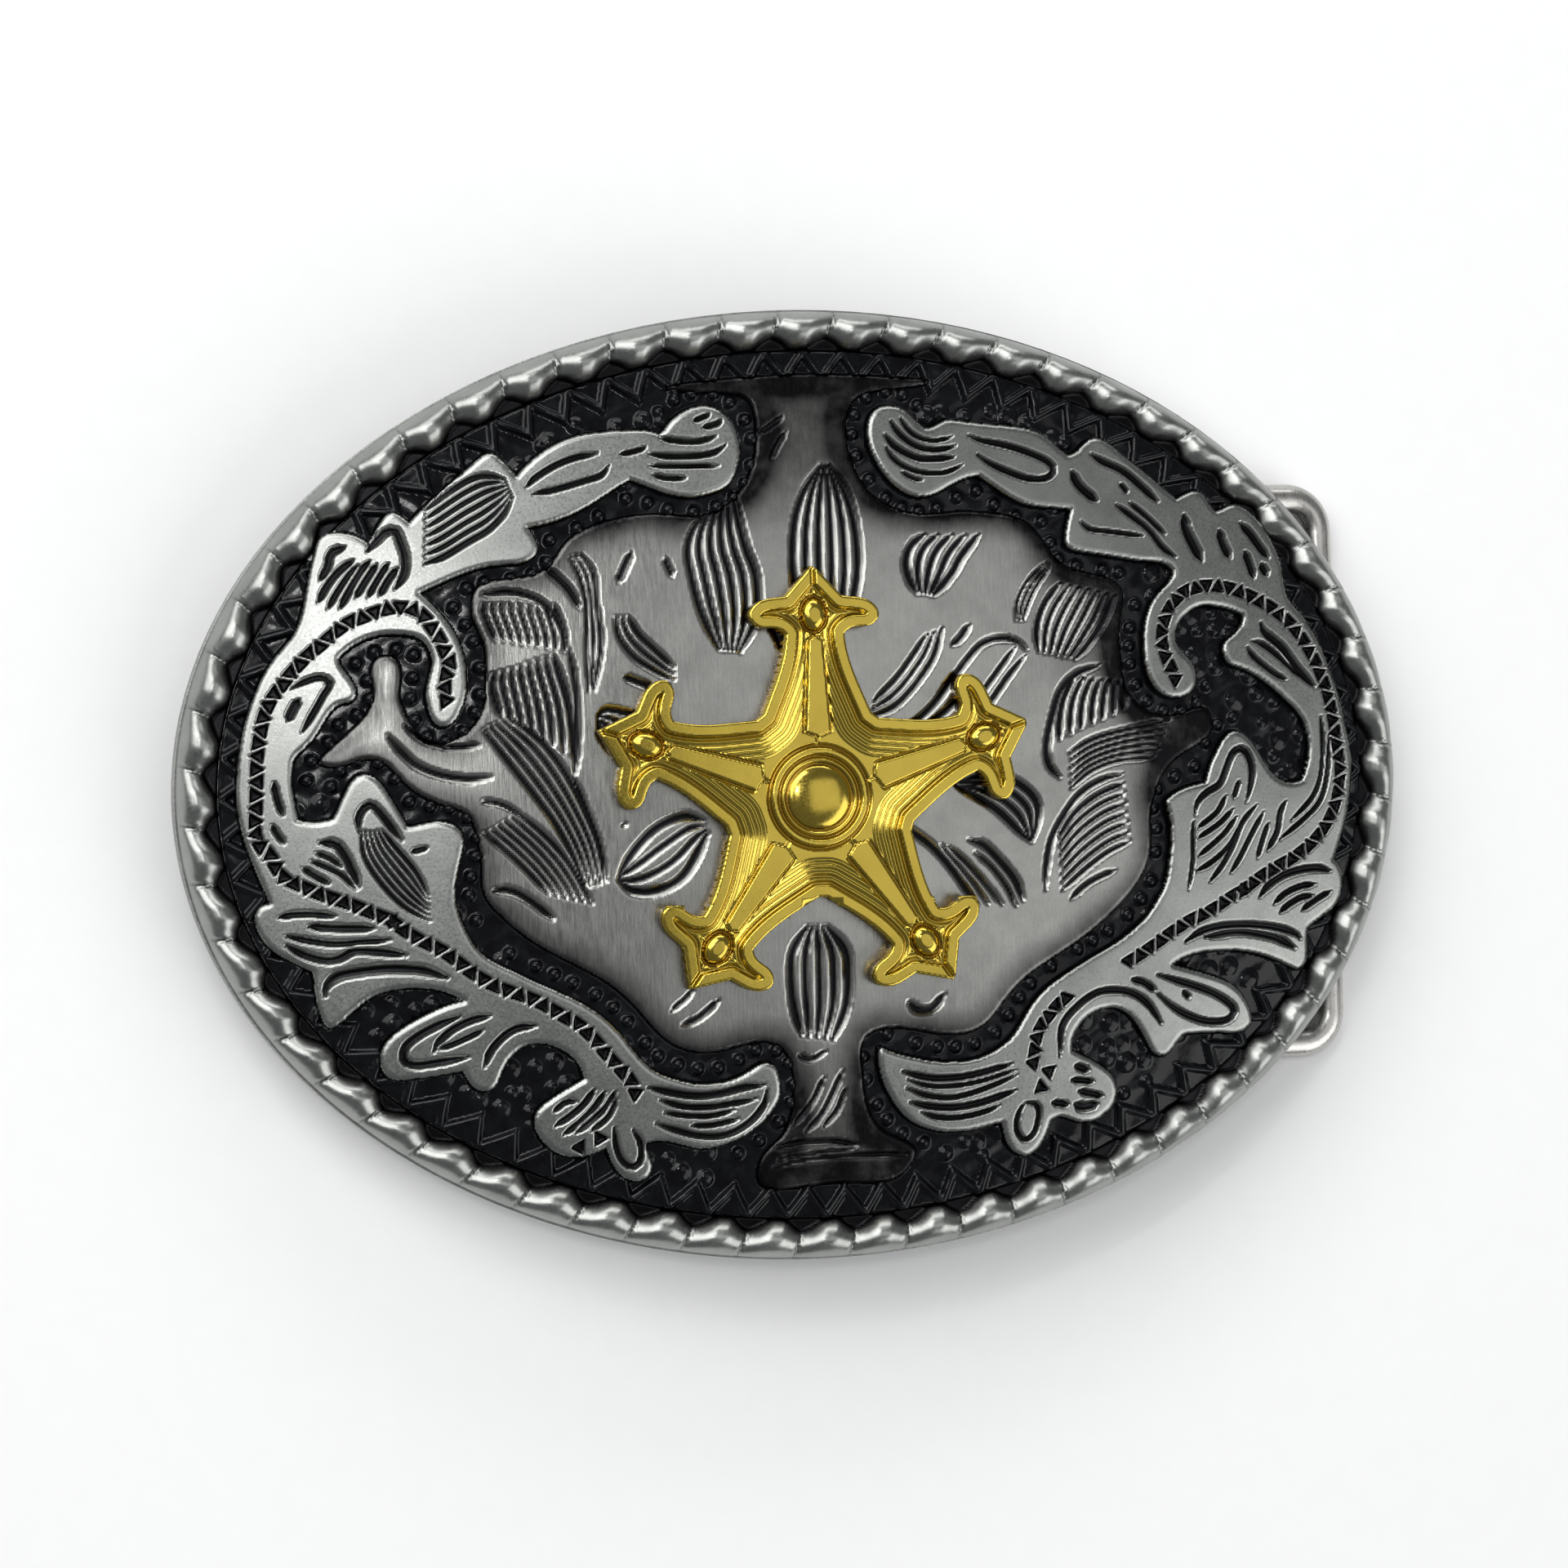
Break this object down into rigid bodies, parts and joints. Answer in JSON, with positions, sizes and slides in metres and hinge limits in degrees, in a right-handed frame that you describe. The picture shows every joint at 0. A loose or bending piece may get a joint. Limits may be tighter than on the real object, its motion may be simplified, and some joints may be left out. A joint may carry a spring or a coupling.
{
  "type": "belt buckle",
  "caption": "Oval western plate buckle with rope border, raised scrolls, gilt star ornament, hook prong and hinged wire bail",
  "frame": {"origin": "middle of the oval, on the table the buckle lies on, face up", "axes": "+X along the oval towards the wire bail, +Y across the oval towards the star's upper point, +Z out of the decorated face"},
  "size_m": [0.098, 0.0736, 0.0125],
  "materials": {
    "pewter_plate": "cast zinc plated antique pewter, satin",
    "pewter_rope": "antique pewter, worn bright on the strands, dark in the joints",
    "enamel": "glossy black enamel",
    "nickel_panel": "brushed antique nickel with black patina in the cuts",
    "pewter_scroll": "satin antique pewter, black patina in the cuts",
    "gilt": "bright gold plating",
    "gilt_pin": "gold plated, hammered over",
    "steel_prong": "satin nickel plated",
    "steel_wire": "satin nickel plated wire"
  },
  "bodies": {
    "buckle": {"face_plate": "pewter_plate", "rope_edge": "pewter_rope", "black_enamel": "enamel", "centre_panel": "nickel_panel", "scroll_left": "pewter_scroll", "scroll_right": "pewter_scroll", "star_ornament": "gilt", "ornament_pin_left": "gilt_pin", "ornament_pin_right": "gilt_pin", "hinge_lug_upper": "pewter_plate", "hinge_lug_lower": "pewter_plate", "prong_base": "pewter_plate", "prong": "steel_prong"},
    "bail": {"bail": "steel_wire"}
  },
  "joints": [
    {"name": "bail_hinge", "type": "hinge", "parent": "buckle", "child": "bail", "pos_m": [0.026, 0, 0.0032], "axis": [0, 1, 0], "range_deg": [0, 180]}
  ]
}
